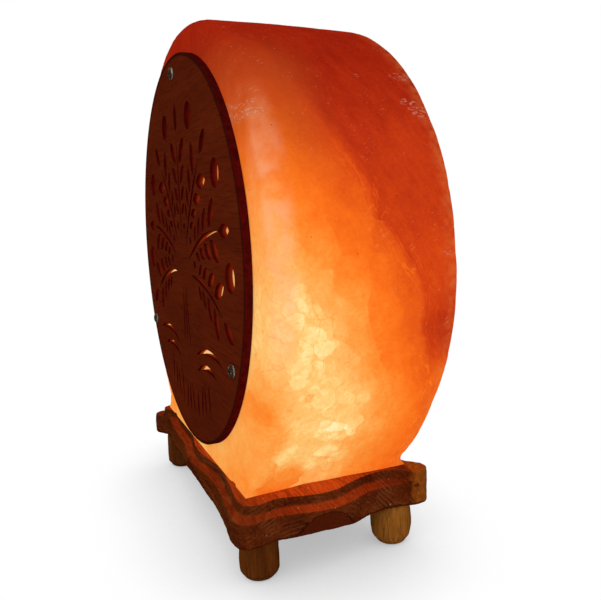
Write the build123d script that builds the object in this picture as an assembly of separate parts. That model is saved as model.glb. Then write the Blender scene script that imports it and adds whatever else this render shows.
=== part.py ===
from build123d import *
import os
from math import acos, atan2, cos, degrees, hypot, pi, radians, sin, sqrt

os.makedirs("parts", exist_ok=True)

# Salt crystal lamp. A thick round block of rock salt stands on a stepped wooden plank with
# four turned feet. A fretted plywood disc is screwed to its front face, and a small bulb on
# a spring-clip lampholder is pushed up through the plank into a bore in the salt.
# Millimetres. Seen from the front: +X right, +Y back, +Z up. The origin is on the floor,
# under the middle of the salt.

# ---- feet ----
foot_height = 17.3
foot_neck_radius = 7.7  # where a foot meets the plank
front_foot_swell = 0.2  # how far the straight front feet swell between their ends
rear_foot_swell = 1.0  # the rear feet are turned to a barrel
foot_sole_radius = 5.6
foot_sole_rise = 2.4  # height of the bevel round the sole
tenon_radius = 5.0
tenon_length = 7.0
glue_gap = 0.1  # all round a peg, plug or screw in its hole

# ---- plank ----
plank_length = 148.4
plank_depth = 84.2
foot_inset_x = 13.0  # middle of a foot to the end of the plank
foot_inset_front = 12.1
foot_inset_rear = 13.6
plank_thickness = 14.7
step_height = 4.0
ledge_width_sides = 5.2
ledge_width_front = 3.9
ledge_run_out = 1.5  # at the rear corners the step runs out past the edge by this
plank_corner_radius = 5.0
plank_bore_radius = 20.0
# The sawn edges wander. Each pair is a share of the half side and how far the edge
# stands out there, along the front from left to right and along the right from front to back.
front_wave = (
    (-0.78, -5.2), (-0.47, -3.6), (-0.19, -2.6), (0.07, -0.1), (0.36, -2.6), (0.58, -2.3), (0.8, -0.4)
)
side_wave = (
    (-0.66, -0.9), (-0.42, 0.7), (-0.2, 2.5), (0.02, 1.5), (0.22, -1.8), (0.48, -4.4), (0.72, -3.6)
)
corner_reach = {"front_left": 0.4, "front_right": 0.5, "rear_right": -2.6, "rear_left": 0.0}
facet_height = 9.0  # slanting cut under the middle of each side
facet_depth = 2.8
side_facet_length = 34.0
front_facet_length = 44.0

# ---- salt ----
salt_radius = 100.0
salt_thickness = 70.6
salt_flat_cut = 16.4  # how much of the disc its flat cuts off
front_edge_radius = 6.5
rear_edge_radius = 4.5
heel_reach = 8.6  # how far the front corners of the flat are left wider than the disc
heel_reach_rear = 4.0
bulb_bore_radius = 21.0
bulb_bore_depth = 88.0
bulb_bore_round = 4.0

# ---- fretted panel ----
panel_radius = 82.8
panel_thickness = 2.8
panel_rise = 4.3  # centre of the panel above the axis of the salt
panel_screw_circle_radius = 76.0
panel_screw_angles = (90, -30, -150)
panel_rim = 11.0  # plain wood outside the fretwork

# ---- screws and plugs in the salt ----
panel_screw_radius = 1.25
panel_screw_length = 16.0
panel_screw_head_radius = 2.5
panel_screw_head_height = 1.7
panel_screw_head_round = 1.36
panel_recess_reach = 1.3  # half the length of the cross recess in the head
panel_recess_width = 0.6
panel_recess_depth = 0.9
panel_plug_radius = 2.5
panel_plug_length = 15.0
salt_screw_radius = 2.0
salt_screw_length = 40.0
salt_screw_head_radius = 4.0
salt_recess_reach = 2.0
salt_recess_width = 0.9
salt_recess_depth = 1.4
salt_screw_offset = 40.0  # from the axis of the bulb, to each side
salt_plug_radius = 4.0
salt_plug_length = 30.0
plug_chamfer = 0.3  # of a plug's far end, as a share of its radius
plug_end_wall = 0.5  # solid end of a plug past its screw hole, as a share of its radius
countersink_sink = 0.6  # heads lie this far inside the underside of the plank
panel_hole_clearance = 0.2
plank_hole_clearance = 0.25

# ---- lampholder ----
holder_floor_gap = 9.5  # lowest point of the lampholder above the floor
collar_radius = 7.6
collar_height = 11.5
collar_thread_depth = 5.5
collar_chamfer = 0.8
cord_bore_radius = 3.75
grip_screw_radius = 1.5
grip_screw_stand_out = 1.2
grip_screw_cord_gap = 0.3  # its tip back from the wall of the cord bore
grip_slot_width = 0.5
grip_slot_depth = 0.7
nipple_radius = 5.0
nipple_bore_radius = 4.2
nipple_stand_in = 1.5  # nipple above the floor of the cap
nut_across_flats = 14.0
nut_height = 3.5
clip_thickness = 0.8
clip_width = 10.0
clip_eye_radius = 8.0  # round middle of the clip, under the nut
clip_wall_gap = 0.3  # corners of the clip to the wall of the plank's bore
clip_bend_radius = 1.6
clip_knee_rise = 6.0
clip_wing_rise = 23.0
clip_tip_gap = 2.4  # free ends of the clip to the sleeve
holder_radius = 12.5
cap_height = 14.0
cap_wall = 1.6
cap_floor = 2.4
cap_edge_round = 1.2
sleeve_height = 34.0
sleeve_bore_radius = 9.7
sleeve_spigot_length = 4.0
sleeve_chamfer = 0.6
sleeve_ledge = 1.5
sleeve_ledge_bore_radius = 8.0
block_height = 12.2
thread_gap = 0.1  # between the cap of the bulb and the screw shell, all round
terminal_size = 5.0
terminal_gap = 2.0
terminal_screw_radius = 1.25
terminal_head_radius = 2.1
terminal_head_height = 1.5
terminal_slot_width = 0.6
terminal_slot_depth = 0.6
strip_thickness = 0.5
strip_width = 3.0
shell_wall = 0.4
shell_rise = 1.5  # rim of the screw shell above its last ridge
shell_rim_gap = 0.5  # that rim to the flare of the bulb's cap

# ---- bulb ----
thread_pitch = 2.82
thread_turns = 5
thread_crest_radius = 6.9
thread_depth = 0.7
bulb_cap_wall = 0.3
bulb_skirt_radius = 8.5
bulb_skirt_height = 6.0
bulb_skirt_flare = 3.0
insulator_height = 2.6
insulator_lip = 0.6  # insulator standing out round the tip contact
insulator_shoulder = 0.8  # its straight side, under the thread
contact_radius = 2.4
contact_height = 1.4
contact_round = 0.84
contact_gap = 0.3  # tip of the bulb to the centre contact, at rest
glass_radius = 13.0
glass_neck_radius = 6.6
glass_neck_height = 4.0
glass_wall = 0.8
glass_height = 38.0
glass_widest_rise = 18.0
stem_flare_height = 0.8
stem_radius = 2.0
stem_height = 19.0
wire_radius = 0.3
wire_spacing = 2.0
wire_bend_gap = 1.0  # where the wires bend apart, above the stem
tip_wire_straight = 2.0  # straight end of the wire to the tip, above the start of the thread
tip_wire_slant = 4.0  # height over which it leans across to its place in the stem
cap_wire_drop = 2.0  # height over which the other wire leans out to the side of the cap
filament_span = 13.0
filament_rise = 23.0
filament_arch = 3.0
filament_radius = 0.25

# ---- heights and places that follow ----
foot_x = plank_length / 2 - foot_inset_x
foot_front_y = -plank_depth / 2 + foot_inset_front
foot_rear_y = plank_depth / 2 - foot_inset_rear
salt_flat_z = foot_height + plank_thickness
salt_axis_rise = salt_radius - salt_flat_cut
flat_half_width = sqrt(salt_radius**2 - salt_axis_rise**2)
salt_axis_z = salt_flat_z + salt_axis_rise
panel_centre_z = salt_axis_z + panel_rise
salt_front_y = -salt_thickness / 2
panel_front_y = salt_front_y - panel_thickness
bore_top_z = salt_flat_z + bulb_bore_depth
collar_top_z = holder_floor_gap + collar_height
nut_top_z = collar_top_z + nut_height
clip_top_z = nut_top_z + clip_thickness
cap_top_z = clip_top_z + cap_height
sleeve_top_z = cap_top_z + sleeve_height
block_bottom_z = cap_top_z - sleeve_spigot_length + sleeve_ledge
block_top_z = block_bottom_z + block_height
shell_seat_z = block_top_z + shell_wall
tongue_top_z = shell_seat_z + 3 * strip_thickness
bulb_tip_z = tongue_top_z + contact_gap
insulator_z = bulb_tip_z + contact_height
thread_z = insulator_z + insulator_height
thread_top_z = thread_z + thread_turns * thread_pitch
flare_z = thread_top_z + shell_rise + shell_rim_gap
skirt_z = flare_z + bulb_skirt_flare
skirt_top_z = skirt_z + bulb_skirt_height
stem_z = skirt_z
glass_z = stem_z + stem_flare_height
wire_top_z = glass_z + filament_rise
filament_z = wire_top_z + wire_radius + filament_radius + glue_gap
over = 1.0  # how far a cutter runs past the face it cuts

standing = (Align.CENTER, Align.CENTER, Align.MIN)


def rod(radius, bottom, top):
    return Pos(0, 0, bottom) * Cylinder(radius, top - bottom, align=standing)


def tube(outer_radius, inner_radius, bottom, top):
    return rod(outer_radius, bottom, top) - rod(inner_radius, bottom - over, top + over)


def turned(*edges):
    """A solid of revolution about Z from a closed profile of edges, x being the radius."""
    outline = Wire([part for edge in edges for part in edge.edges()])
    return revolve(make_face(Plane.XZ * outline), axis=Axis.Z)


def turned_polygon(*points):
    return turned(Polyline(*points, close=True))


# ---- feet ----
def foot(swell):
    side = ThreePointArc(
        (foot_neck_radius, foot_sole_rise),
        (foot_neck_radius + swell, (foot_sole_rise + foot_height) / 2),
        (foot_neck_radius, foot_height),
    )
    rest = Polyline(
        (foot_neck_radius, foot_height),
        (tenon_radius, foot_height),
        (tenon_radius, foot_height + tenon_length),
        (0, foot_height + tenon_length),
        (0, 0),
        (foot_sole_radius, 0),
        (foot_neck_radius, foot_sole_rise),
    )
    return turned(side, rest)


def foot_places():
    for depth_name, y in (("front", foot_front_y), ("rear", foot_rear_y)):
        for side_name, x in (("left", -foot_x), ("right", foot_x)):
            yield f"foot_{depth_name}_{side_name}", x, y


# ---- plank ----
def corner_points(corner_x, corner_y):
    """Three points on the round of a corner, in the order left to right or front to back."""
    sign_x = 1 if corner_x > 0 else -1
    sign_y = 1 if corner_y > 0 else -1
    middle = plank_corner_radius * (1 - sqrt(0.5))
    return [
        (corner_x - sign_x * plank_corner_radius, corner_y),
        (corner_x - sign_x * middle, corner_y - sign_y * middle),
        (corner_x, corner_y - sign_y * plank_corner_radius),
    ]


def plank_outline(inset_x, inset_front, inset_rear):
    """The sawn outline of the plank, drawn in from its edge, counter-clockwise from above.

    The rear corners follow inset_rear both ways; where it is below 0, they lie past the edge.
    """
    half_x = plank_length / 2 - inset_x
    half_y = plank_depth / 2 - inset_front
    rear_half_x = plank_length / 2 - inset_rear
    rear_half_y = plank_depth / 2 - inset_rear
    front = [(share * half_x, -half_y - out) for share, out in front_wave]
    right = [(half_x + out, share * half_y) for share, out in side_wave]
    rear = [(-share * rear_half_x, rear_half_y + out) for share, out in front_wave]
    left = [(-x, -y) for x, y in right]
    front_right = corner_points(half_x + corner_reach["front_right"], -half_y)
    rear_right = corner_points(rear_half_x + corner_reach["rear_right"], rear_half_y)[::-1]
    rear_left = corner_points(-rear_half_x - corner_reach["rear_left"], rear_half_y)
    front_left = corner_points(-half_x - corner_reach["front_left"], -half_y)[::-1]
    points = front + front_right + right + rear_right + rear + rear_left + left + front_left
    return make_face(Spline(*points, periodic=True))


def facet_cutter(crest, length):
    """A wedge that slants the lower part of an edge whose bulge stands out to x = crest."""
    wedge = Polygon(
        (crest - facet_depth, foot_height),
        (crest, foot_height + facet_height),
        (crest + facet_depth, foot_height + facet_height),
        (crest + facet_depth, foot_height - over),
        (crest - facet_depth, foot_height - over),
        align=None,
    )
    return extrude(Plane.XZ * wedge, amount=length / 2, both=True)


def furthest_out(wave):
    """Place and reach of the bulge that stands out furthest."""
    return max(wave, key=lambda bulge: bulge[1])


def base_board():
    outline = plank_outline(0, 0, 0)
    plateau = plank_outline(ledge_width_sides, ledge_width_front, -ledge_run_out) & outline
    ledge_z = salt_flat_z - step_height
    board = extrude(Pos(0, 0, foot_height) * outline, amount=ledge_z - foot_height)
    board += extrude(Pos(0, 0, ledge_z) * plateau, amount=step_height)
    side_share, side_out = furthest_out(side_wave)
    side_cutter = facet_cutter(plank_length / 2 + side_out, side_facet_length)
    side_cutter = Pos(0, side_share * plank_depth / 2, 0) * side_cutter
    front_share, front_out = furthest_out(front_wave)
    front_cutter = facet_cutter(plank_depth / 2 + front_out, front_facet_length)
    front_cutter = Pos(front_share * plank_length / 2, 0, 0) * Rot(0, 0, -90) * front_cutter
    for cutter in (side_cutter, front_cutter):
        board -= cutter
        board -= Rot(0, 0, 180) * cutter
    board -= rod(plank_bore_radius, foot_height - over, salt_flat_z + over)
    mortise = rod(tenon_radius + glue_gap, foot_height - over, foot_height + tenon_length + glue_gap)
    for name, x, y in foot_places():
        board -= Pos(x, y, 0) * mortise
    for x, y in salt_screw_places():
        board -= Pos(x, y, 0) * countersunk_hole()
    return board


def salt_screw_places():
    return ((-salt_screw_offset, 0), (salt_screw_offset, 0))


def countersunk_hole():
    shank = rod(salt_screw_radius + plank_hole_clearance, foot_height - over, salt_flat_z + over)
    wide = salt_screw_head_radius + plank_hole_clearance
    mouth = turned_polygon(
        (0, foot_height - over),
        (wide, foot_height - over),
        (wide, foot_height + countersink_sink),
        (0, foot_height + countersink_sink + wide),
    )
    return shank + mouth


# ---- salt ----
def tangent_angle():
    """Angle on the disc where the straight line up from a heel corner runs into the rim."""
    half_width = flat_half_width + heel_reach
    reach = hypot(half_width, salt_axis_rise)
    return acos(salt_radius / reach) - atan2(salt_axis_rise, half_width)


def heel():
    """The right front corner left wide at the foot of the disc, fading out up the rim."""
    angle = tangent_angle()
    start_y = salt_front_y + front_edge_radius
    start = Vector(salt_radius * cos(angle), start_y, salt_axis_z + salt_radius * sin(angle))
    front_corner = Vector(flat_half_width + heel_reach, salt_front_y, salt_flat_z)
    rear_corner = Vector(flat_half_width + heel_reach_rear, -salt_front_y, salt_flat_z)
    section = Polygon(
        (salt_front_y, salt_flat_z), (start.Y, start.Z), (-salt_front_y, salt_flat_z), align=None
    )
    prism = extrude(Plane.YZ * section, amount=salt_radius, dir=(1, 0, 0))
    down = front_corner - start
    outer = Plane(origin=start, x_dir=down, z_dir=down.cross(rear_corner - start))
    return split(prism, bisect_by=outer, keep=Keep.BOTH).solids().sort_by(Axis.X)[0]


def salt_block():
    disc = Pos(0, 0, salt_axis_z) * Rot(90, 0, 0) * Cylinder(salt_radius, salt_thickness)
    rims = disc.edges().filter_by(GeomType.CIRCLE).sort_by(Axis.Y)
    disc = fillet(rims[0], front_edge_radius)
    disc = fillet(disc.edges().filter_by(GeomType.CIRCLE).sort_by(Axis.Y)[-1], rear_edge_radius)
    below = Pos(0, 0, salt_flat_z - salt_radius) * Box(2 * salt_radius, 2 * salt_thickness, 2 * salt_radius)
    block = disc - below
    block += heel()
    block += mirror(heel(), about=Plane.YZ)
    bore = rod(bulb_bore_radius, salt_flat_z - over, bore_top_z)
    bore = fillet(bore.edges().sort_by(Axis.Z)[-1], bulb_bore_round)
    block -= bore
    plug_top_z = salt_flat_z + salt_plug_length + glue_gap
    for x, y in salt_screw_places():
        block -= Pos(x, y, 0) * rod(salt_plug_radius + glue_gap, salt_flat_z - over, plug_top_z)
    drill = rod(panel_plug_radius + glue_gap, -over, panel_plug_length + glue_gap)
    for place in panel_screw_places(salt_front_y):
        block -= place * drill
    return block


# ---- fretted panel ----
def panel_screw_places(y):
    """Screw positions on a plane at depth y, each with its Z axis pointing into the salt."""
    for angle in panel_screw_angles:
        x = panel_screw_circle_radius * cos(radians(angle))
        z = panel_centre_z + panel_screw_circle_radius * sin(radians(angle))
        yield Pos(x, y, z) * Rot(-90, 0, 0)


def crescent(start, end, sag_one, sag_two):
    """A cut-out between two arcs from start to end, each bowed to the left by its sag."""
    along = end - start
    middle = (start + end) / 2
    left = Vector(-along.Y, along.X).normalized()
    one = ThreePointArc(start, middle + left * sag_one, end)
    two = ThreePointArc(end, middle + left * sag_two, start)
    return make_face(Wire([one, two]))


def leaf(base, angle, length, width):
    tip = base + Vector(length, 0).rotate(Axis.Z, degrees(angle))
    return crescent(base, tip, width / 2, -width / 2)


# The fretwork is a spreading tree over hills and reeds, all of it leaf-shaped cut-outs.
art_radius = panel_radius - panel_rim
fan_centre = Vector(0, -0.1 * art_radius)
branch_count = 7
fan_spread = radians(190)
branch_droop = radians(9)
branch_start = 0.17 * art_radius
branch_reach = 0.8 * art_radius
branch_sag = 3.2
branch_width = 2.2
leaf_pairs = 4
leaf_first = 0.34 * art_radius
leaf_growth = 0.29  # length of a leaf as a share of its distance from the fan centre
leaf_slimness = 0.43
leaf_turn = radians(46)
leaf_stand_off = 2.4  # foot of a leaf to the middle of its branch
tip_leaf_length = 0.17 * art_radius
tip_leaf_gap = 1.6
fruit_radius = 5.4
fruit_distance = 0.93 * art_radius
berry_radius = 1.5
berry_distance = 0.28 * art_radius
strand_count = 3
strand_width = 1.7
strand_spread = 5.6
strand_gather = 0.56
trunk_foot = 0.58 * art_radius
trunk_top_gap = 0.09 * art_radius
# Each hill reaches a share of the radius out, at a share of it below the centre.
hills = ((0.74, 0.56), (0.62, 0.66))
hill_inner = 0.2 * art_radius
hill_fall = 0.03 * art_radius
hill_width = 2.4
hill_bow = 3.4
reed_count = 11
reed_spacing = 0.09 * art_radius
reed_height = 0.2 * art_radius
reed_width = 2.3
reed_height_swing = 1.8
reed_height_pace = 2.3
reed_lean_swing = 0.16
reed_lean_pace = 1.7


def fan_angle(branch):
    return pi / 2 + fan_spread * (0.5 - branch / (branch_count - 1))


def fan_point(distance, angle):
    return fan_centre + Vector(distance, 0).rotate(Axis.Z, degrees(angle))


def branch_cuts(branch):
    """One arched branch with its pairs of leaves. Side branches droop towards their tips."""
    angle = fan_angle(branch)
    start = fan_point(branch_start, angle)
    end = fan_point(branch_reach, angle - branch_droop * cos(angle))
    sag = branch_sag * cos(angle)
    along = end - start
    left = Vector(-along.Y, along.X).normalized()
    yield crescent(start, end, sag - branch_width / 2, sag + branch_width / 2)
    for pair in range(leaf_pairs):
        distance = leaf_first * (branch_reach / leaf_first) ** (pair / leaf_pairs)
        share = (distance - branch_start) / (branch_reach - branch_start)
        here = start + along * share + left * (4 * sag * share * (1 - share))
        heading = along + left * (4 * sag * (1 - 2 * share))
        direction = atan2(heading.Y, heading.X)
        length = leaf_growth * distance
        for side in (-1, 1):
            base = here + left * (side * leaf_stand_off)
            yield leaf(base, direction + side * leaf_turn, length, leaf_slimness * length)
    heading = along - left * (4 * sag)
    direction = atan2(heading.Y, heading.X)
    tip = end + heading.normalized() * tip_leaf_gap
    yield leaf(tip, direction, tip_leaf_length, leaf_slimness * tip_leaf_length)


def fruit_cuts():
    """Round cut-outs in the gaps between branches."""
    for gap in range(branch_count - 1):
        angle = (fan_angle(gap) + fan_angle(gap + 1)) / 2
        fruit = fan_point(fruit_distance, angle - branch_droop * cos(angle))
        berry = fan_point(berry_distance, angle)
        yield Pos(fruit.X, fruit.Y) * Circle(fruit_radius)
        yield Pos(berry.X, berry.Y) * Circle(berry_radius)


def ground_cuts():
    """Trunk strands, hills to each side and a row of reeds along the bottom."""
    for strand in range(strand_count):
        side = strand - (strand_count - 1) / 2
        low = Vector(side * strand_spread, -trunk_foot)
        high = Vector(side * strand_spread * strand_gather, fan_centre.Y - trunk_top_gap)
        yield crescent(low, high, side - strand_width / 2, side + strand_width / 2)
    for side in (-1, 1):
        for reach, depth in hills:
            outer = Vector(side * reach * art_radius, -depth * art_radius)
            inner = Vector(side * hill_inner, -depth * art_radius - hill_fall)
            bow = -side * hill_bow
            yield crescent(outer, inner, bow - hill_width / 2, bow + hill_width / 2)
    for reed in range(reed_count):
        place = reed - (reed_count - 1) / 2
        x = place * reed_spacing
        foot_point = Vector(x, -sqrt(art_radius**2 - x**2))
        height = reed_height + reed_height_swing * sin(reed_height_pace * place)
        lean = pi / 2 + reed_lean_swing * sin(reed_lean_pace * place)
        yield leaf(foot_point, lean, height, reed_width)


def fretwork_panel():
    sheet = Circle(panel_radius)
    cuts = []
    for branch in range(branch_count):
        cuts += branch_cuts(branch)
    cuts += fruit_cuts()
    cuts += ground_cuts()
    sheet -= cuts
    panel = extrude(Pos(0, salt_front_y, panel_centre_z) * Rot(90, 0, 0) * sheet, amount=panel_thickness)
    drill = rod(panel_screw_radius + panel_hole_clearance, -panel_thickness - over, panel_thickness + over)
    for place in panel_screw_places(salt_front_y):
        panel -= place * drill
    return panel


# ---- screws and plugs in the salt ----
def cross_recess(reach, width, top, depth):
    bar = Pos(0, 0, top - depth) * Box(2 * reach, width, depth + over, align=standing)
    return bar + Rot(0, 0, 90) * bar


def pointed_shank(radius, length):
    """A screw's shank from z = 0 down, its last stretch a point."""
    return turned_polygon((0, 0), (radius, 0), (radius, -length + 2 * radius), (0, -length))


def panel_screw():
    """Round head, lying on z = 0 with its shank down."""
    head = rod(panel_screw_head_radius, 0, panel_screw_head_height)
    head = fillet(head.edges().sort_by(Axis.Z)[-1], panel_screw_head_round)
    screw = head + pointed_shank(panel_screw_radius, panel_screw_length)
    top = panel_screw_head_height
    return screw - cross_recess(panel_recess_reach, panel_recess_width, top, panel_recess_depth)


def salt_screw():
    """Countersunk head with its flat face on z = 0 and its shank down."""
    cone = salt_screw_head_radius - salt_screw_radius
    head = turned_polygon((0, 0), (salt_screw_head_radius, 0), (salt_screw_radius, -cone), (0, -cone))
    screw = head + pointed_shank(salt_screw_radius, salt_screw_length)
    return screw - cross_recess(salt_recess_reach, salt_recess_width, 0, salt_recess_depth)


def plug(radius, length, screw_radius):
    """A nylon plug, its mouth at z = 0 and its body above."""
    body = rod(radius, 0, length)
    body = chamfer(body.edges().sort_by(Axis.Z)[-1], plug_chamfer * radius)
    return body - rod(screw_radius + glue_gap, -over, length - plug_end_wall * radius)


def panel_screws():
    return [place * Rot(180, 0, 0) * panel_screw() for place in panel_screw_places(panel_front_y)]


def panel_plugs():
    body = plug(panel_plug_radius, panel_plug_length, panel_screw_radius)
    return [place * body for place in panel_screw_places(salt_front_y)]


def salt_screws():
    head_z = foot_height + countersink_sink
    return [Pos(x, y, head_z) * Rot(180, 0, 0) * salt_screw() for x, y in salt_screw_places()]


def salt_plugs():
    body = plug(salt_plug_radius, salt_plug_length, salt_screw_radius)
    return [Pos(x, y, salt_flat_z) * body for x, y in salt_screw_places()]


# ---- lampholder ----
def cord_collar():
    """Plastic collar screwed on the nipple; the cord comes in from below."""
    thread_bottom = collar_top_z - collar_thread_depth
    body = rod(collar_radius, holder_floor_gap, collar_top_z)
    body = chamfer(body.edges().sort_by(Axis.Z)[0], collar_chamfer)
    body -= rod(nipple_radius + glue_gap, thread_bottom, collar_top_z + over)
    body -= rod(cord_bore_radius, holder_floor_gap - over, collar_top_z)
    return body - grip_screw_place() * rod(grip_screw_radius + glue_gap, 0, collar_radius + over)


def grip_screw_place():
    """On the axis of the collar, half way up its cord bore, Z pointing to the back."""
    height = holder_floor_gap + (collar_height - collar_thread_depth) / 2
    return Pos(0, 0, height) * Rot(-90, 0, 0)


def cord_grip_screw():
    outer = collar_radius + grip_screw_stand_out
    body = rod(grip_screw_radius, cord_bore_radius + grip_screw_cord_gap, outer)
    slot = Box(grip_slot_width, 2 * grip_screw_radius + over, grip_slot_depth + over, align=standing)
    return grip_screw_place() * (body - Pos(0, 0, outer - grip_slot_depth) * slot)


def cord_nipple():
    bottom = collar_top_z - collar_thread_depth
    top = clip_top_z + cap_floor + nipple_stand_in
    return tube(nipple_radius, nipple_bore_radius, bottom, top)


def clip_nut():
    hexagon = RegularPolygon(nut_across_flats / 2, 6, major_radius=False)
    body = extrude(Pos(0, 0, collar_top_z) * hexagon, amount=nut_height)
    return body - rod(nipple_radius + glue_gap, collar_top_z - over, nut_top_z + over)


def clip_spring():
    """Spring steel strip under the cap, both ends bent up into wings that grip the bore."""
    half = clip_thickness / 2
    knee_x = sqrt((plank_bore_radius - clip_wall_gap) ** 2 - (clip_width / 2) ** 2) - half
    corner_x = holder_radius + 3 * half
    tip_x = holder_radius + clip_tip_gap + half
    middle_z = nut_top_z + half
    path = FilletPolyline(
        (0, middle_z),
        (corner_x, middle_z),
        (knee_x, middle_z + clip_knee_rise),
        (tip_x, middle_z + clip_wing_rise),
        radius=clip_bend_radius,
    )
    wing = extrude(Plane.XZ * trace(path, line_width=clip_thickness), amount=clip_width / 2, both=True)
    strip = wing + Rot(0, 0, 180) * wing + rod(clip_eye_radius, nut_top_z, clip_top_z)
    return strip - rod(nipple_radius + 2 * glue_gap, nut_top_z - over, clip_top_z + over)


def holder_cap():
    body = rod(holder_radius, clip_top_z, cap_top_z)
    body = fillet(body.edges().sort_by(Axis.Z)[0], cap_edge_round)
    body -= rod(holder_radius - cap_wall, clip_top_z + cap_floor, cap_top_z + over)
    return body - rod(nipple_radius + glue_gap, clip_top_z - over, cap_top_z)


def holder_sleeve():
    """Outer tube, with a spigot in the cap and a ledge that carries the contact block."""
    spigot_z = cap_top_z - sleeve_spigot_length
    body = tube(holder_radius, sleeve_bore_radius, cap_top_z, sleeve_top_z)
    body = chamfer(body.edges().filter_by(GeomType.CIRCLE).sort_by(Axis.Z)[-2:], sleeve_chamfer)
    body += tube(holder_radius - cap_wall - glue_gap, sleeve_bore_radius, spigot_z, cap_top_z)
    return body + tube(sleeve_bore_radius, sleeve_ledge_bore_radius, spigot_z, spigot_z + sleeve_ledge)


def strip_leg(x, bottom, top, play):
    """A flat strip on edge at x, or the slot that it passes with some play."""
    leg = Box(strip_thickness + 2 * play, strip_width + 2 * play, top - bottom, align=standing)
    return Pos(x, 0, bottom) * leg


centre_leg_x = -(contact_radius + strip_thickness)
side_leg_x = thread_crest_radius - thread_depth - strip_thickness
shell_hole_radius = abs(centre_leg_x) + 2 * strip_thickness + glue_gap


def contact_block():
    """Insulating block that carries the contacts, on the ledge of the sleeve."""
    body = rod(sleeve_bore_radius - glue_gap, block_bottom_z, block_top_z)
    for x in (centre_leg_x, side_leg_x):
        body -= strip_leg(x, block_bottom_z - over, block_top_z + over, glue_gap)
    return body


def centre_contact():
    """Strip up through the block, with its end folded over under the tip of the bulb."""
    leg = strip_leg(centre_leg_x, block_bottom_z, tongue_top_z, 0)
    reach = contact_radius - centre_leg_x
    tongue_z = tongue_top_z - strip_thickness
    tongue = Pos(centre_leg_x, 0, tongue_z) * Box(
        reach, strip_width, strip_thickness, align=(Align.MIN, Align.CENTER, Align.MIN)
    )
    return leg + tongue


def side_contact():
    return strip_leg(side_leg_x, block_bottom_z, block_top_z, 0)


def terminal_places():
    for side in (-1, 1):
        yield Pos(side * (terminal_gap + terminal_size) / 2, 0, block_bottom_z)


def terminal_blocks():
    """Brass blocks under the contact block, one at the foot of each strip."""
    block = Pos(0, 0, -terminal_size) * Box(terminal_size, terminal_size, terminal_size, align=standing)
    block -= rod(terminal_screw_radius + glue_gap, -terminal_size - over, -terminal_size / 4)
    return [place * block for place in terminal_places()]


def terminal_screws():
    head = rod(terminal_head_radius, -terminal_size - terminal_head_height, -terminal_size)
    screw = head + rod(terminal_screw_radius, -terminal_size, -terminal_size / 3)
    slot = Box(2 * terminal_head_radius + over, terminal_slot_width, 2 * terminal_slot_depth)
    screw -= Pos(0, 0, -terminal_size - terminal_head_height) * slot
    return [place * screw for place in terminal_places()]


# ---- screw thread, drawn as rings so that the bulb can turn in its shell ----
def ringed_side(crest_radius, bottom, turns):
    """Rounded ridges and hollows going up, from crest to crest."""
    middle = crest_radius - thread_depth / 2
    quarter = thread_pitch / 4
    edges = []
    for half_turn in range(2 * turns):
        low = bottom + half_turn * thread_pitch / 2
        bulge = thread_depth / 2 if half_turn % 2 else -thread_depth / 2
        turning = (middle + bulge, low + quarter)
        edges.append(ThreePointArc((middle, low), turning, (middle, low + 2 * quarter)))
    return edges


def ringed_tube(outer_crest, wall, bottom, turns):
    """A thin tube pressed with the same rings inside and out."""
    outer = ringed_side(outer_crest, bottom, turns)
    inner = ringed_side(outer_crest - wall, bottom, turns)
    top = bottom + turns * thread_pitch
    outer_middle = outer_crest - thread_depth / 2
    ends = [
        Line((outer_middle - wall, bottom), (outer_middle, bottom)),
        Line((outer_middle - wall, top), (outer_middle, top)),
    ]
    return turned(*outer, *inner, *ends)


def screw_shell():
    """Threaded brass shell standing on the contact block."""
    crest = thread_crest_radius + thread_gap + shell_wall
    middle = crest - thread_depth / 2
    threaded = ringed_tube(crest, shell_wall, thread_z, thread_turns)
    lower = tube(middle, middle - shell_wall, block_top_z, thread_z)
    upper = tube(middle, middle - shell_wall, thread_top_z, thread_top_z + shell_rise)
    seat = tube(middle, shell_hole_radius, block_top_z, shell_seat_z)
    return threaded + lower + upper + seat


# ---- bulb ----
def bulb_cap():
    middle = thread_crest_radius - thread_depth / 2
    threaded = ringed_tube(thread_crest_radius, bulb_cap_wall, thread_z, thread_turns)
    flare = turned_polygon(
        (middle - bulb_cap_wall, thread_top_z),
        (middle, thread_top_z),
        (middle, flare_z),
        (bulb_skirt_radius, skirt_z),
        (bulb_skirt_radius, skirt_top_z),
        (bulb_skirt_radius - bulb_cap_wall, skirt_top_z),
        (bulb_skirt_radius - bulb_cap_wall, skirt_z + bulb_cap_wall),
        (middle - bulb_cap_wall, flare_z + bulb_cap_wall),
    )
    return threaded + flare


def bulb_insulator():
    outer = thread_crest_radius - thread_depth / 2
    return turned_polygon(
        (wire_radius + glue_gap, insulator_z),
        (contact_radius + insulator_lip, insulator_z),
        (outer, thread_z - insulator_shoulder),
        (outer, thread_z),
        (wire_radius + glue_gap, thread_z),
    )


def bulb_contact():
    dome = rod(contact_radius, bulb_tip_z, insulator_z)
    return fillet(dome.edges().sort_by(Axis.Z)[0], contact_round)


def glass_side(inset):
    """Half outline of the bulb from its neck to its crown, drawn in by inset."""
    neck_radius = glass_neck_radius - inset
    neck = Line((neck_radius, glass_z), (neck_radius, glass_z + glass_neck_height))
    widest = (glass_radius - inset, glass_z + glass_widest_rise)
    crown = (0, glass_z + glass_height - inset)
    body = Spline(neck @ 1, widest, crown, tangents=[(0, 1), (0, 1), (-1, 0)])
    return neck, body


def bulb_glass():
    outer = glass_side(0)
    inner = glass_side(glass_wall)
    top = Line(inner[1] @ 1, outer[1] @ 1)
    bottom = Line(inner[0] @ 0, outer[0] @ 0)
    return turned(*outer, *inner, top, bottom)


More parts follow.
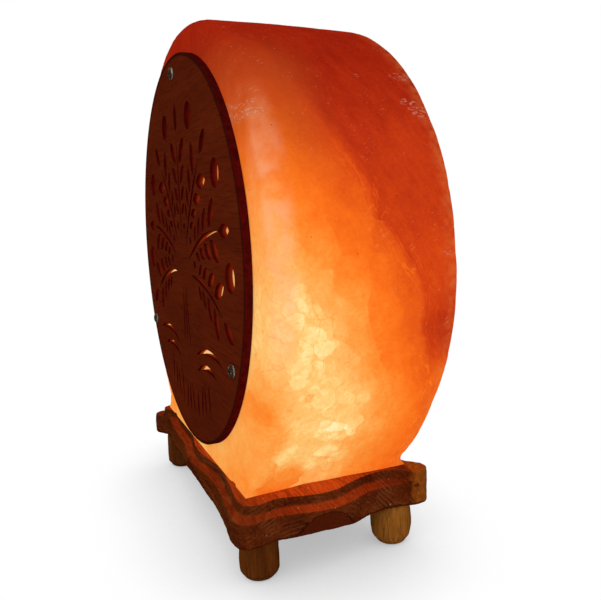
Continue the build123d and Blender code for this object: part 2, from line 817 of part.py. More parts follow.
def bulb_stem():
    """Glass mount: a flare that closes the neck, and a rod that holds the wires."""
    flare = rod(glass_neck_radius, stem_z, glass_z)
    cone = turned_polygon(
        (0, glass_z),
        (glass_neck_radius - 2 * glass_wall, glass_z),
        (stem_radius, glass_z + stem_height / 3),
        (stem_radius, glass_z + stem_height),
        (0, glass_z + stem_height),
    )
    stem = flare + cone
    hole = rod(wire_radius + glue_gap / 2, stem_z - over, glass_z + stem_height + over)
    for side in (-1, 1):
        stem -= Pos(side * wire_spacing / 2, 0, 0) * hole
    return stem


def wire(radius, *points):
    path = Polyline(*[(x, 0, z) for x, z in points])
    start = Plane(origin=path @ 0, z_dir=path % 0)
    return sweep(start * Circle(radius), path=path, transition=Transition.RIGHT)


def bulb_lead_wires():
    """One wire down to the tip contact, one to the side of the cap, both up to the filament."""
    near = wire_spacing / 2
    bend = (near, glass_z + stem_height + wire_bend_gap)
    end = (filament_span / 2, wire_top_z)
    low = thread_z + tip_wire_straight
    cap_inside = thread_crest_radius - thread_depth - bulb_cap_wall - wire_radius
    to_tip = [(0, insulator_z), (0, low), (near, low + tip_wire_slant), bend, end]
    to_cap = [(cap_inside, thread_top_z - cap_wire_drop), (near, thread_top_z), bend, end]
    return [wire(wire_radius, *to_tip), Rot(0, 0, 180) * wire(wire_radius, *to_cap)]


def bulb_filament():
    half = filament_span / 2
    arch = ThreePointArc((-half, filament_z), (0, filament_z + filament_arch), (half, filament_z))
    path = Plane.XZ * arch
    start = Plane(origin=path @ 0, z_dir=path % 0)
    return sweep(start * Circle(filament_radius), path=path)


def bulb_filament_support():
    top = filament_z + filament_arch - filament_radius - glue_gap / 2
    return rod(wire_radius / 2, glass_z + stem_height, top)


def write(name, shape):
    if isinstance(shape, (list, tuple)):
        shape = Compound(children=list(shape))
    export_step(shape, f"parts/{name}.step")


def main():
    write("salt_block", salt_block())
    write("fretwork_panel", fretwork_panel())
    write("panel_screws", panel_screws())
    write("panel_plugs", panel_plugs())
    write("base_board", base_board())
    for name, x, y in foot_places():
        swell = front_foot_swell if y < 0 else rear_foot_swell
        write(name, Pos(x, y, 0) * foot(swell))
    write("salt_screws", salt_screws())
    write("salt_plugs", salt_plugs())
    for piece in (
        cord_collar, cord_grip_screw, cord_nipple, clip_nut, clip_spring, holder_cap, holder_sleeve,
        contact_block, centre_contact, side_contact, terminal_blocks, terminal_screws, screw_shell,
        bulb_cap, bulb_insulator, bulb_contact, bulb_glass, bulb_stem, bulb_lead_wires,
        bulb_filament, bulb_filament_support,
    ):
        write(piece.__name__, piece())


main()
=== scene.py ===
from math import pi, radians

import bmesh
import bpy
from mathutils import Matrix, Vector


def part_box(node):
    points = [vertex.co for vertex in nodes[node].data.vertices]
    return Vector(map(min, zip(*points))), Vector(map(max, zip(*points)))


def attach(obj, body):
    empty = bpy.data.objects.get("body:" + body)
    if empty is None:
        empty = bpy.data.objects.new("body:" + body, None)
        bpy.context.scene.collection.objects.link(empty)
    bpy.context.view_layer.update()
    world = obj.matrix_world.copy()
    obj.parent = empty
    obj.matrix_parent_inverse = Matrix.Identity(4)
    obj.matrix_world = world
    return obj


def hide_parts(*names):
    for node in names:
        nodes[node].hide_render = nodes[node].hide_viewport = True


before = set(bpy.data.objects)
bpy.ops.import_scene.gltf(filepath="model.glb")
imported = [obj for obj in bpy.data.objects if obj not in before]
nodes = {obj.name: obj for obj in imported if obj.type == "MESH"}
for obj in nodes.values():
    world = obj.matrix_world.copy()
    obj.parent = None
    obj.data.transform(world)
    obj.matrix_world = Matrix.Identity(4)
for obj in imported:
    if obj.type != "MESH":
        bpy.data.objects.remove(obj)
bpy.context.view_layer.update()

mm = 0.001

# places that the looks follow, read from the solids
saltLow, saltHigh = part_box("salt_block")
saltRadius = (saltHigh.x - saltLow.x) / 2
saltAxis = saltHigh.z - saltRadius
panelLow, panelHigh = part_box("fretwork_panel")
panelCentre = (panelLow + panelHigh) / 2
panelRadius = (panelHigh.x - panelLow.x) / 2
plankLow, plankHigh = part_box("base_board")
glassLow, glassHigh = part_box("bulb_glass")
bulbCentre = (glassLow + glassHigh) / 2


# Wiring for shader and geometry trees alike: each method adds a node and gives its output.
class Wiring:
    def __init__(self, tree):
        self.tree = tree

    def add(self, kind, inputs=(), output=0, **settings):
        node = self.tree.nodes.new(kind)
        for name, value in settings.items():
            setattr(node, name, value)
        for name, value in dict(inputs).items():
            self.feed(node.inputs[name], value)
        return node.outputs[output]

    def feed(self, socket, value):
        if isinstance(value, bpy.types.NodeSocket):
            self.tree.links.new(value, socket)
        else:
            socket.default_value = value

    def math(self, operation, *values):
        return self.add("ShaderNodeMath", dict(enumerate(values)), operation=operation)

    def times(self, product, *values):
        for value in values:
            product = self.math("MULTIPLY", product, value)
        return product

    def vector(self, operation, *values):
        return self.add("ShaderNodeVectorMath", dict(enumerate(values)), operation=operation)

    def scaled(self, place, factor):
        return self.add("ShaderNodeVectorMath", {0: place, "Scale": factor}, operation="SCALE")

    # a pattern read from here is drawn out along the axes whose factors are under 1
    def stretched(self, place, factors):
        return self.vector("MULTIPLY", place, factors)

    def distance(self, place, centre, weights=(1, 1, 1)):
        offset = self.stretched(self.vector("SUBTRACT", place, centre), weights)
        return self.add("ShaderNodeVectorMath", {0: offset}, output=1, operation="LENGTH")

    def axes(self, place):
        node = self.tree.nodes.new("ShaderNodeSeparateXYZ")
        self.feed(node.inputs[0], place)
        return node.outputs

    # noise of a given grain size in metres; about 0.5 in the middle
    def noise(self, place, size, detail=2.0, roughness=0.5, output=0):
        inputs = {"Vector": place, "Scale": 1 / size, "Detail": detail, "Roughness": roughness}
        return self.add("ShaderNodeTexNoise", inputs, output=output)

    def cells(self, place, size, output="Distance", **settings):
        inputs = {"Vector": place, "Scale": 1 / size}
        return self.add("ShaderNodeTexVoronoi", inputs, output=output, **settings)

    # place pushed about by noise
    def warped(self, place, size, reach):
        push = self.noise(place, size, output=1)
        push = self.vector("SUBTRACT", push, (0.5, 0.5, 0.5))
        return self.vector("ADD", place, self.scaled(push, 2 * reach))

    # from toLow at the low value to toHigh at the high one, and level past them;
    # low may be the larger
    def line(self, value, low, high, toLow=0.0, toHigh=1.0, **settings):
        inputs = {"Value": value, "From Min": low, "From Max": high, "To Min": toLow, "To Max": toHigh}
        return self.add("ShaderNodeMapRange", inputs, **settings)

    # the same, eased at both ends
    def between(self, value, low, high, toLow=0.0, toHigh=1.0):
        return self.line(value, low, high, toLow, toHigh, interpolation_type="SMOOTHSTEP")


# sRGB 0-255 as a linear colour
def colour(red, green, blue):
    def linear(byte):
        share = byte / 255
        return share / 12.92 if share <= 0.04045 else ((share + 0.055) / 1.055) ** 2.4
    return (linear(red), linear(green), linear(blue), 1.0)


class Finish(Wiring):
    def __init__(self, name):
        self.material = bpy.data.materials.new(name)
        self.material.use_nodes = True
        super().__init__(self.material.node_tree)
        self.shader = self.tree.nodes["Principled BSDF"]
        self.place = self.add("ShaderNodeTexCoord", output="Object")

    def set(self, **values):
        for name, value in values.items():
            self.feed(self.shader.inputs[name.replace("_", " ")], value)

    def ramp(self, value, stops, interpolation="LINEAR"):
        node = self.tree.nodes.new("ShaderNodeValToRGB")
        node.color_ramp.interpolation = interpolation
        elements = node.color_ramp.elements
        while len(elements) < len(stops):
            elements.new(0.5)
        for element, (position, tint) in zip(elements, stops):
            element.position = position
            element.color = tint
        self.feed(node.inputs["Fac"], value)
        return node.outputs["Color"]

    def mix(self, factor, one, two, blend="MIX"):
        node = self.tree.nodes.new("ShaderNodeMix")
        node.data_type = "RGBA"
        node.blend_type = blend
        self.feed(node.inputs[0], factor)
        self.feed(node.inputs[6], one)
        self.feed(node.inputs[7], two)
        return node.outputs[2]

    def bump(self, height, depth, strength=1.0, under=None):
        inputs = {"Height": height, "Distance": depth, "Strength": strength}
        if under is not None:
            inputs["Normal"] = under
        return self.add("ShaderNodeBump", inputs)

    # the way the surface faces, along each axis
    def facing(self):
        return self.axes(self.add("ShaderNodeNewGeometry", output="Normal"))


def dress(piece, material):
    piece.data.materials.clear()
    piece.data.materials.append(material)


cameraLook = {
    "place": (0.2809, -0.1052, 0.1395),
    "turn": 66.41,  # degrees about the vertical
    "dip": 8.34,
    "lean": -1.88,
    "focalShare": 648.3 / 601,  # focal length over the width of the picture
    "sensor": 36.0,
    "nearest": 0.01,
}


def makeCamera(look):
    data = bpy.data.cameras.new("camera")
    data.sensor_width = look["sensor"]
    data.lens = look["focalShare"] * look["sensor"]
    data.clip_start = look["nearest"]
    camera = bpy.data.objects.new("camera", data)
    bpy.context.scene.collection.objects.link(camera)
    turn = Matrix.Rotation(radians(look["turn"]), 4, "Z")
    dip = Matrix.Rotation(radians(90 - look["dip"]), 4, "X")
    lean = Matrix.Rotation(radians(look["lean"]), 4, "Z")
    camera.matrix_world = Matrix.Translation(look["place"]) @ turn @ dip @ lean
    bpy.context.scene.camera = camera


studioLook = {
    "floorSize": 12.0,
    "floorTint": (0.85, 0.85, 0.85, 1),
    "shadeReach": 0.06,  # how far off a piece still dims the floor that the camera sees
    "shadeDepth": 0.42,  # what is left of white right under a piece
    "worldLevel": 0.3,
    # name, place, size, watts
    "softboxes": (
        ("keyLight", (0.75, -0.75, 0.75), (0.7, 0.9), 4.0),
        ("topLight", (-0.2, 0.3, 1.2), (0.9, 0.9), 2.2),
        ("edgeLight", (0.95, 0.35, 0.12), (0.2, 1.0), 1.4),
    ),
    "aim": (0.0, 0.0, 0.11),
}


# 1 where a ray comes from the camera, straight or by way of metal or glass
def seenByCamera(wiring):
    rays = wiring.tree.nodes.new("ShaderNodeLightPath").outputs
    seen = wiring.math("MAXIMUM", rays["Is Camera Ray"], rays["Is Transmission Ray"])
    return wiring.math("MAXIMUM", seen, rays["Is Glossy Ray"])


def makeStudio(look):
    scene = bpy.context.scene
    scene.view_settings.view_transform = "Standard"
    world = bpy.data.worlds.new("studio")
    world.use_nodes = True
    scene.world = world
    wiring = Wiring(world.node_tree)
    background = world.node_tree.nodes["Background"]
    background.inputs["Color"].default_value = (1, 1, 1, 1)
    level = wiring.line(seenByCamera(wiring), 0, 1, look["worldLevel"], 1.0)
    wiring.feed(background.inputs["Strength"], level)
    half = look["floorSize"] / 2
    corners = [(-half, -half, 0), (half, -half, 0), (half, half, 0), (-half, half, 0)]
    mesh = bpy.data.meshes.new("floor")
    mesh.from_pydata(corners, [], [(0, 1, 2, 3)])
    floor = bpy.data.objects.new("floor", mesh)
    scene.collection.objects.link(floor)
    dress(floor, floorFinish(look))
    for name, place, size, watts in look["softboxes"]:
        data = bpy.data.lights.new(name, "AREA")
        data.shape = "RECTANGLE"
        data.size, data.size_y = size
        data.energy = watts
        lamp = bpy.data.objects.new(name, data)
        scene.collection.objects.link(lamp)
        toward = (Vector(look["aim"]) - Vector(place)).to_track_quat("-Z", "Y")
        lamp.matrix_world = Matrix.Translation(place) @ toward.to_matrix().to_4x4()


# plain for the light that it throws back, white with a soft shadow for the camera
def floorFinish(look):
    finish = Finish("floorFinish")
    finish.set(Base_Color=look["floorTint"], Roughness=0.9)
    inputs = {"Distance": look["shadeReach"]}
    free = finish.add("ShaderNodeAmbientOcclusion", inputs, output="AO", samples=12)
    white = finish.line(free, 0.1, 0.92, look["shadeDepth"], 1.0)
    white = finish.add("ShaderNodeEmission", {"Color": (1, 1, 1, 1), "Strength": white})
    both = {0: seenByCamera(finish), 1: finish.shader.outputs[0], 2: white}
    both = finish.add("ShaderNodeMixShader", both)
    finish.feed(finish.tree.nodes["Material Output"].inputs["Surface"], both)
    return finish.material


# what each look gives the tree below
wearInputs = ("waveDepth", "waveSize", "pitDepth", "pitSize", "seatHeight", "seatFade", "seed")


# A geometry tree that wears a close-meshed copy of a solid by hand: slow waves left by the saw
# and small pits, cut inwards so that the piece stays in its solid, and none where it is seated.
def wearTree():
    tree = bpy.data.node_groups.new("handFinished", "GeometryNodeTree")
    face = tree.interface
    face.new_socket("Geometry", in_out="INPUT", socket_type="NodeSocketGeometry")
    for name in wearInputs:
        face.new_socket(name, in_out="INPUT", socket_type="NodeSocketFloat")
    face.new_socket("finish", in_out="INPUT", socket_type="NodeSocketMaterial")
    face.new_socket("Geometry", in_out="OUTPUT", socket_type="NodeSocketGeometry")
    wiring = Wiring(tree)
    given = tree.nodes.new("NodeGroupInput").outputs
    place = wiring.add("GeometryNodeInputPosition")
    normal = wiring.add("GeometryNodeInputNormal")
    height = wiring.axes(place)[2]

    def bumps(size, detail):
        inputs = {"Vector": place, "W": given["seed"], "Detail": detail, "Roughness": 0.55}
        inputs["Scale"] = wiring.math("DIVIDE", 1.0, size)
        return wiring.add("ShaderNodeTexNoise", inputs, noise_dimensions="4D")

    waves = wiring.between(bumps(given["waveSize"], 2.0), 0.25, 0.75)
    pits = wiring.between(bumps(given["pitSize"], 3.0), 0.42, 0.72)
    depth = wiring.math("MULTIPLY", waves, given["waveDepth"])
    depth = wiring.math("MULTIPLY_ADD", pits, given["pitDepth"], depth)
    fadeTop = wiring.math("ADD", given["seatHeight"], given["seatFade"])
    free = wiring.between(height, given["seatHeight"], fadeTop)
    offset = wiring.scaled(normal, wiring.times(depth, free, -1.0))
    worn = wiring.add("GeometryNodeSetPosition", {"Geometry": given["Geometry"], "Offset": offset})
    worn = wiring.add("GeometryNodeSetShadeSmooth", {"Geometry": worn})
    worn = wiring.add("GeometryNodeRealizeInstances", {"Geometry": worn})
    worn = wiring.add("GeometryNodeSetMaterial", {"Geometry": worn, "Material": given["finish"]})
    wiring.feed(tree.nodes.new("NodeGroupOutput").inputs[0], worn)
    return tree


def socketId(tree, name):
    for item in tree.interface.items_tree:
        if item.item_type == "SOCKET" and item.in_out == "INPUT" and item.name == name:
            return item.identifier


# one object's modifiers worked out into a plain mesh
def settle(piece):
    bpy.context.view_layer.update()
    evaluated = piece.evaluated_get(bpy.context.evaluated_depsgraph_get())
    mesh = bpy.data.meshes.new_from_object(evaluated)
    piece.modifiers.clear()
    piece.data = mesh
    mesh.name = piece.name


# a close-meshed copy of a CAD node, worn by hand, that takes the node's place
def handFinish(name, node, tree, look, material):
    build = bmesh.new()
    build.from_mesh(nodes[node].data)
    bmesh.ops.remove_doubles(build, verts=build.verts, dist=0.002 * mm)
    mesh = bpy.data.meshes.new(name)
    build.to_mesh(mesh)
    build.free()
    piece = bpy.data.objects.new(name, mesh)
    bpy.context.scene.collection.objects.link(piece)
    remesh = piece.modifiers.new("closeMesh", "REMESH")
    remesh.mode = "VOXEL"
    remesh.voxel_size = look["meshSize"]
    remesh.use_smooth_shade = True
    ease = piece.modifiers.new("ease", "SMOOTH")
    ease.factor = 0.5
    ease.iterations = look["easing"]
    wear = piece.modifiers.new("wear", "NODES")
    wear.node_group = tree
    for key in wearInputs:
        wear[socketId(tree, key)] = float(look[key])
    wear[socketId(tree, "finish")] = material
    settle(piece)
    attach(piece, "lamp")
    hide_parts(node)
    return piece


saltLook = {
    "meshSize": 1.3 * mm, "easing": 2, "waveDepth": 0.7 * mm, "waveSize": 38 * mm,
    "pitDepth": 0.16 * mm, "pitSize": 3.2 * mm,
    "seatHeight": saltLow.z + 1 * mm, "seatFade": 4 * mm, "seed": 3,
    # the block is a little fuller at its low rear corners: how far, from what height down,
    # from how far forward, how far out to each side, and how the fullness grows downwards
    "heelReach": 5.5 * mm, "heelTop": 66 * mm, "heelFront": -10 * mm,
    "heelSides": (40 * mm, 52 * mm), "heelCurve": 1.3,
    # The salt lies in two layers, clear in front and red behind. Each list goes up through the
    # heights in mm: how far the light comes through at the front, by the seam and behind it, and
    # where the front shine begins to fade and the seam lies, in mm from front to back.
    "frontShine": (
        (30, 0.66), (52, 0.72), (65, 0.74), (75, 0.71), (87, 0.75), (97, 0.77), (116, 0.69), (135, 0.6),
        (153, 0.46), (163, 0.37), (173, 0.28), (182, 0.2), (193, 0.15), (216, 0.12),
    ),
    "seamShine": (
        (30, 0.38), (52, 0.41), (65, 0.4), (77, 0.35), (87, 0.31), (97, 0.3), (116, 0.32), (126, 0.31),
        (135, 0.29), (145, 0.28), (155, 0.26), (165, 0.25), (175, 0.22), (185, 0.17), (195, 0.13),
        (216, 0.13),
    ),
    "rearShine": (
        (30, 0.42), (65, 0.44), (77, 0.38), (87, 0.25), (97, 0.22), (106, 0.26), (116, 0.27), (126, 0.25),
        (135, 0.225), (145, 0.21), (155, 0.21), (165, 0.18), (175, 0.155), (185, 0.14), (195, 0.125),
        (216, 0.12),
    ),
    "frontEnd": (
        (30, -6), (65, -4), (77, -8), (87, -17), (97, -18), (116, -25), (135, -34), (173, -30),
        (193, -20), (216, -20),
    ),
    "seam": (
        (30, 31), (65, 30), (77, 26), (87, 21), (97, 20), (106, 19), (116, 14.5), (126, 8), (135, 4),
        (145, 0), (155, -4), (165, -9), (175, -13), (185, -17), (195, -21), (216, -25),
    ),
    "placeReach": 50,  # mm; no place in the last two lists lies further out
    "bends": ((48 * mm, 6 * mm), (13 * mm, 2.6 * mm), (2.8 * mm, 0.9 * mm)),  # of the layers: size, reach
    "seamWidth": (1.3 * mm, 5 * mm),  # sharp below, blurred towards the top
    "seamHeights": (135 * mm, 180 * mm),
    # clear salt lies in overlapping scales, down from a height and forward of a place
    "terraceSize": 13 * mm, "terraceBend": (9 * mm, 3 * mm), "terraceShare": 0.35,
    "terraceHeights": (150 * mm, 125 * mm), "terraceEnd": 12 * mm,
    # clouds of other salt: middle and radii in mm from front to back and up, change, softness
    "clouds": (
        ((-34, 54), (10.5, 22), -0.11, 0.2),
        ((-21, 38), (8, 8), -0.2, 0.3),
        ((-36, 78), (7, 14), -0.08, 0.5),
        ((-31, 100), (5, 9), -0.03, 0.4),
        ((30, 96), (8, 10), -0.04, 0.8),
        ((-20, 44), (10, 8), 0.05, 0.5),
    ),
    # the bulb seen through the flat faces, and in the bore: where its light starts and is full
    "faceDepth": 2 * mm, "faceGlow": (85 * mm, 15 * mm), "faceShine": (0.42, 0.26),  # rear, front
    "boreGlow": (30 * mm, 22 * mm), "boreDrawn": (1, 1, 0.45),
    "dimGain": 0.12,  # mottling that is left where no light comes through
    "mottles": (  # size, detail, strength
        (20 * mm, 3.0, 0.2), (5 * mm, 2.0, 0.1), (1.3 * mm, 3.0, 0.16), (0.5 * mm, 2.0, 0.1),
    ),
    # streaks along the layers, stronger in the red one: from where, to where, how strong
    "layerDrawn": (0.25, 1, 0.25), "streakSize": 3.4 * mm,
    "streakPlaces": (-22 * mm, 2 * mm), "streakShares": (0.05, 0.24),
    # pale threads by the seam
    "threadSize": 4.5 * mm, "threadBend": (5 * mm, 2 * mm), "threadReach": 9 * mm,
    "threadShine": 0.07, "threadHeights": (165 * mm, 140 * mm),
    # where rounded crystals show: middle and radii in mm, and how strongly
    "crystals": (
        ((-28, 107), (5, 7), 0.9), ((-20, 105), (3.5, 3.5), 0.8), ((-21, 95), (6, 6), 0.85),
        ((-25, 86), (5, 5), 0.7), ((-16, 84), (5, 6), 0.75), ((-19, 77), (6, 5), 0.75),
        ((-18, 66), (13, 6), 0.55), ((-5, 61), (9, 5), 1.1), ((-24, 50), (6, 6), 0.5),
        ((-31, 97), (4, 5), 0.4), ((-4, 73), (7, 6), 0.5), ((-6, 47), (9, 6), 0.9),
    ),
    # their size, the shift that sets one size apart from the next, and how much they shine
    "crystalSizes": ((7.5 * mm, 0.0, 0.1), (5 * mm, 0.04, 0.09), (2.8 * mm, 0.07, 0.05)),
    "crystalBend": (5 * mm, 1.1 * mm),
    "crackShade": 0.07,
    # sanding dust over the upper front, a painted highlight along the front rounding, a pale rear
    # edge; heights in mm
    "dullTint": colour(160, 72, 28), "dullShare": 0.42, "dullHeights": (138, 172, 182, 205),
    "dullEnd": -22 * mm,
    # a painted highlight: light reflected off the front rounding, painted in; the hairlines share its tint
    "highlightAndHairTint": colour(243, 178, 135), "edgeHighlightShare": 0.5, "edgeHighlightHeights": (75, 115, 145, 185),
    "edgeHighlightPlaces": (-24 * mm, -30 * mm), "edgeHighlightStart": 1.5 * mm,
    "rimTint": colour(214, 122, 62), "rimShare": 0.4, "rimWidths": (12 * mm, 4 * mm),
    "rimPlaces": (26 * mm, 34 * mm),
    "hairTurn": -32, "hairShare": 0.17,  # hairlines: degrees from level on the rim
    # whitish bruises: middle in mm from front to back and up, reach in mm, strength
    "bruises": (
        ((-34, 167.5), 2.3, 0.75), ((-35, 171), 1.4, 0.45), ((28.5, 184), 2.4, 0.5),
        ((26, 173), 1.9, 0.6), ((28.5, 170), 2.2, 0.6), ((11, 184), 0.9, 0.4),
        ((28, 121), 2.2, 0.2), ((-20, 120), 1.0, 0.3),
    ),
    "bruiseTint": colour(204, 148, 118),
    "dustSize": 5 * mm, "dustShare": 0.4,
    "speckTint": colour(120, 34, 10), "speckSize": 8 * mm, "speckShare": 0.5,
    "scratchSize": 0.7 * mm, "scratchDepth": 0.15 * mm, "bruiseDepth": 0.3 * mm,
    "light": 0.75,  # how much of the colour is glow; the rest is lit salt
    "litShare": 0.5,
    # the colour of the salt as more and more light comes through
    "shades": (
        (0.0, colour(110, 14, 6)), (0.1, colour(138, 26, 10)), (0.14, colour(159, 35, 12)),
        (0.185, colour(178, 47, 17)), (0.25, colour(203, 63, 18)), (0.3, colour(215, 76, 20)),
        (0.36, colour(229, 93, 23)), (0.42, colour(243, 107, 25)), (0.47, colour(249, 119, 32)),
        (0.55, colour(250, 140, 50)), (0.63, colour(251, 162, 74)), (0.7, colour(251, 180, 96)),
        (0.77, colour(252, 196, 112)), (0.88, colour(253, 224, 150)), (1.0, colour(255, 246, 200)),
    ),
}


# The salt's pattern is worked out as a level, 0 where no light comes through and 1 where all
# of it does, and the shades make it a colour. The worn surface is painted over that.
class SaltFinish(Finish):
    def __init__(self, name, look):
        super().__init__(name)
        self.look = look
        self.across, self.height = self.axes(self.place)[1:]
        self.bentPlace = self.bend()
        self.bentAcross, self.bentHeight = self.axes(self.bentPlace)[1:]

    # the place pushed about, so that the layers that follow it wander
    def bend(self):
        look = self.look
        place = self.place
        for size, reach in look["bends"]:
            place = self.warped(place, size, reach)
        terraces = self.warped(self.place, *look["terraceBend"])
        terraces = self.cells(terraces, look["terraceSize"]).node.outputs["Position"]
        terraces = self.vector("SUBTRACT", terraces, self.place)
        clear = self.between(self.height, *look["terraceHeights"], 0, look["terraceShare"])
        clear = self.times(self.between(self.across, look["terraceEnd"], 0), clear)
        return self.vector("ADD", place, self.scaled(terraces, clear))

    # a list of heights in mm and values as a curve over the height
    def profile(self, points, low=0, high=1):
        stops = []
        for heightThere, value in points:
            grey = (value - low) / (high - low)
            stops.append((heightThere * mm / saltHigh.z, (grey, grey, grey, 1)))
        share = self.math("DIVIDE", self.bentHeight, saltHigh.z)
        return self.line(self.ramp(share, stops, "B_SPLINE"), 0, 1, low, high)

    def places(self, points):
        reach = self.look["placeReach"]
        return self.math("MULTIPLY", self.profile(points, -reach, reach), mm)

    # 1 in the middle of an oval across the rim, 0 outside it; middle and radii in mm
    def oval(self, where, middle, radii, softness):
        weights = (0, 1 / (radii[0] * mm), 1 / (radii[1] * mm))
        away = self.distance(where, (0, middle[0] * mm, middle[1] * mm), weights)
        return self.between(away, 1 + softness, 1 - softness)

    # 1 between the middle two of four heights in mm, eased to 0 at the outer two
    def band(self, value, heights):
        start, full, fade, end = (height * mm for height in heights)
        return self.times(self.between(value, start, full), self.between(value, end, fade))

    def layers(self):
        look = self.look
        seam = self.places(look["seam"])
        shine = self.profile(look["frontShine"]), self.profile(look["seamShine"])
        level = self.line(self.bentAcross, self.places(look["frontEnd"]), seam, *shine)
        self.offSeam = self.math("SUBTRACT", self.bentAcross, seam)
        blur = self.between(self.bentHeight, *look["seamHeights"], *look["seamWidth"])
        isRed = self.between(self.math("DIVIDE", self.offSeam, blur), -1, 1)
        level = self.add("ShaderNodeMix", {0: isRed, 2: level, 3: self.profile(look["rearShine"])})
        for middle, radii, change, softness in look["clouds"]:
            cloud = self.oval(self.bentPlace, middle, radii, softness)
            level = self.math("MULTIPLY_ADD", cloud, change, level)
        return level

    # round the bulb the light comes through both flat faces, and it fills the bore
    def bulbLight(self, level):
        look = self.look
        glow = self.between(self.distance(self.place, bulbCentre, (1, 0, 1)), *look["faceGlow"])
        face = self.math("ABSOLUTE", self.across)
        face = self.between(face, saltHigh.y - look["faceDepth"], saltHigh.y)
        shine = self.between(self.across, saltHigh.y, saltLow.y, *look["faceShine"])
        level = self.math("ADD", level, self.times(glow, face, shine))
        bore = self.distance(self.place, bulbCentre, look["boreDrawn"])
        return self.math("MAXIMUM", level, self.between(bore, *look["boreGlow"]))

    # streaks and threads along the layers, and mottling all over
    def mottling(self, level):
        look = self.look
        gain = self.math("ADD", level, look["dimGain"])
        along = self.axes(self.stretched(self.place, look["layerDrawn"]))
        along = self.add("ShaderNodeCombineXYZ", {0: along[0], 1: self.offSeam, 2: along[2]})
        streaks = self.math("SUBTRACT", self.noise(along, look["streakSize"], 4.0, 0.6), 0.5)
        shares = self.between(self.bentAcross, *look["streakPlaces"], *look["streakShares"])
        level = self.math("MULTIPLY_ADD", self.times(streaks, shares), gain, level)
        thread = self.noise(self.warped(along, *look["threadBend"]), look["threadSize"])
        thread = self.math("ABSOLUTE", self.math("SUBTRACT", thread, 0.5))
        bySeam = self.math("ABSOLUTE", self.offSeam)
        bySeam = self.between(bySeam, look["threadReach"], 0, 0, look["threadShine"])
        bySeam = self.times(bySeam, self.between(self.bentHeight, *look["threadHeights"]))
        level = self.math("MULTIPLY_ADD", self.between(thread, 0.022, 0.006), bySeam, level)
        for size, detail, strength in look["mottles"]:
            mottle = self.math("SUBTRACT", self.noise(self.place, size, detail), 0.5)
            level = self.math("MULTIPLY_ADD", self.times(mottle, gain), strength, level)
        return level

    # rounded crystals, each shining or not as a whole, with fine cracks between the bright ones
    def crystals(self, level):
        look = self.look
        place = self.warped(self.place, *look["crystalBend"])
        for size, shift, strength in look["crystalSizes"]:
            cell = self.cells(self.vector("ADD", place, (shift, 0, 0)), size)
            middleOfCell = cell.node.outputs["Position"]
            shown = 0.0
            for middle, radii, weight in look["crystals"]:
                patch = self.times(self.oval(middleOfCell, middle, radii, 0.3), weight)
                shown = self.math("MAXIMUM", shown, patch)
            tone = self.line(self.axes(cell.node.outputs["Color"])[0], 0.1, 1, 0.2, 1)
            edge = self.between(cell, 0.66, 0.6)
            shown = self.times(shown, tone, edge, self.line(cell, 0, 0.6, 0.75, 1.15))
            level = self.math("MULTIPLY_ADD", shown, strength, level)
        crack = self.cells(place, look["crystalSizes"][0][0], feature="DISTANCE_TO_EDGE")
        crack = self.between(crack, 0.035, 0.012)
        patches = self.between(self.noise(self.place, 6 * mm), 0.5, 0.6)
        crack = self.times(crack, patches, self.between(level, 0.6, 0.7))
        return self.math("MULTIPLY_ADD", crack, -look["crackShade"], level)

    # sanding dust and hairlines, a painted highlight along the front rounding and a pale rear edge
    def sandingAndHighlight(self, tint, level):
        look = self.look
        dull = self.between(self.bentAcross, 0, look["dullEnd"], 0, look["dullShare"])
        dull = self.times(self.band(self.height, look["dullHeights"]), dull)
        tint = self.mix(dull, tint, look["dullTint"])
        # a painted highlight along the front rounding, standing in for reflected light
        paintedHighlight = self.between(self.across, *look["edgeHighlightPlaces"], 0, look["edgeHighlightShare"])
        face = self.between(self.across, saltLow.y, saltLow.y + look["edgeHighlightStart"])
        patches = self.between(self.noise(self.place, 9 * mm, 3.0), 0.25, 0.7)
        paintedHighlight = self.times(paintedHighlight, face, self.band(self.bentHeight, look["edgeHighlightHeights"]), patches)
        tint = self.mix(paintedHighlight, tint, look["highlightAndHairTint"])
        rim = self.between(self.across, *look["rimPlaces"], 0, look["rimShare"])
        patches = self.between(self.noise(self.place, 3 * mm, 4.0), 0.3, 0.7)
        start, full = (saltRadius - width for width in look["rimWidths"])
        edge = self.distance(self.place, (0, 0, saltAxis), (1, 0, 1))
        rim = self.times(rim, patches, self.between(edge, start, full, 0.25, 1))
        tint = self.mix(rim, tint, look["rimTint"])
        # pale hairlines left by sanding, in the tint of the painted highlight
        inputs = {"Vector": self.place, "Angle": radians(look["hairTurn"])}
        hairs = self.add("ShaderNodeVectorRotate", inputs, rotation_type="X_AXIS")
        hairs = self.noise(self.stretched(hairs, (1, 0.09, 1)), 0.45 * mm, 2.0, 0.6)
        patches = self.between(self.noise(self.place, 9 * mm), 0.48, 0.62, 0, look["hairShare"])
        hairs = self.times(self.between(hairs, 0.64, 0.7), patches, self.between(level, 0.6, 0.4))
        return self.mix(hairs, tint, look["highlightAndHairTint"])

    # bruises of crushed salt, pale dust and dark specks
    def bruising(self, tint):
        look = self.look
        crushed = self.noise(self.stretched(self.place, (1, 0.55, 1)), 0.9 * mm, 3.0, 0.7)
        marks = 0.0
        for middle, reach, strength in look["bruises"]:
            mark = self.oval(self.bentPlace, middle, (1.4 * reach, 0.7 * reach), 0.45)
            marks = self.math("MAXIMUM", marks, self.times(mark, strength))
        self.bruise = self.times(marks, self.between(crushed, 0.5, 0.6))
        tint = self.mix(self.bruise, tint, look["bruiseTint"])
        dust = self.between(self.cells(self.place, look["dustSize"]), 0.06, 0.02, 0, look["dustShare"])
        tint = self.mix(dust, tint, look["bruiseTint"])
        speck = self.vector("ADD", self.place, (0.3, 0.1, 0.2))  # clear of the dust
        speck = self.between(self.cells(speck, look["speckSize"]), 0.045, 0.025, 0, look["speckShare"])
        return self.mix(speck, tint, look["speckTint"])


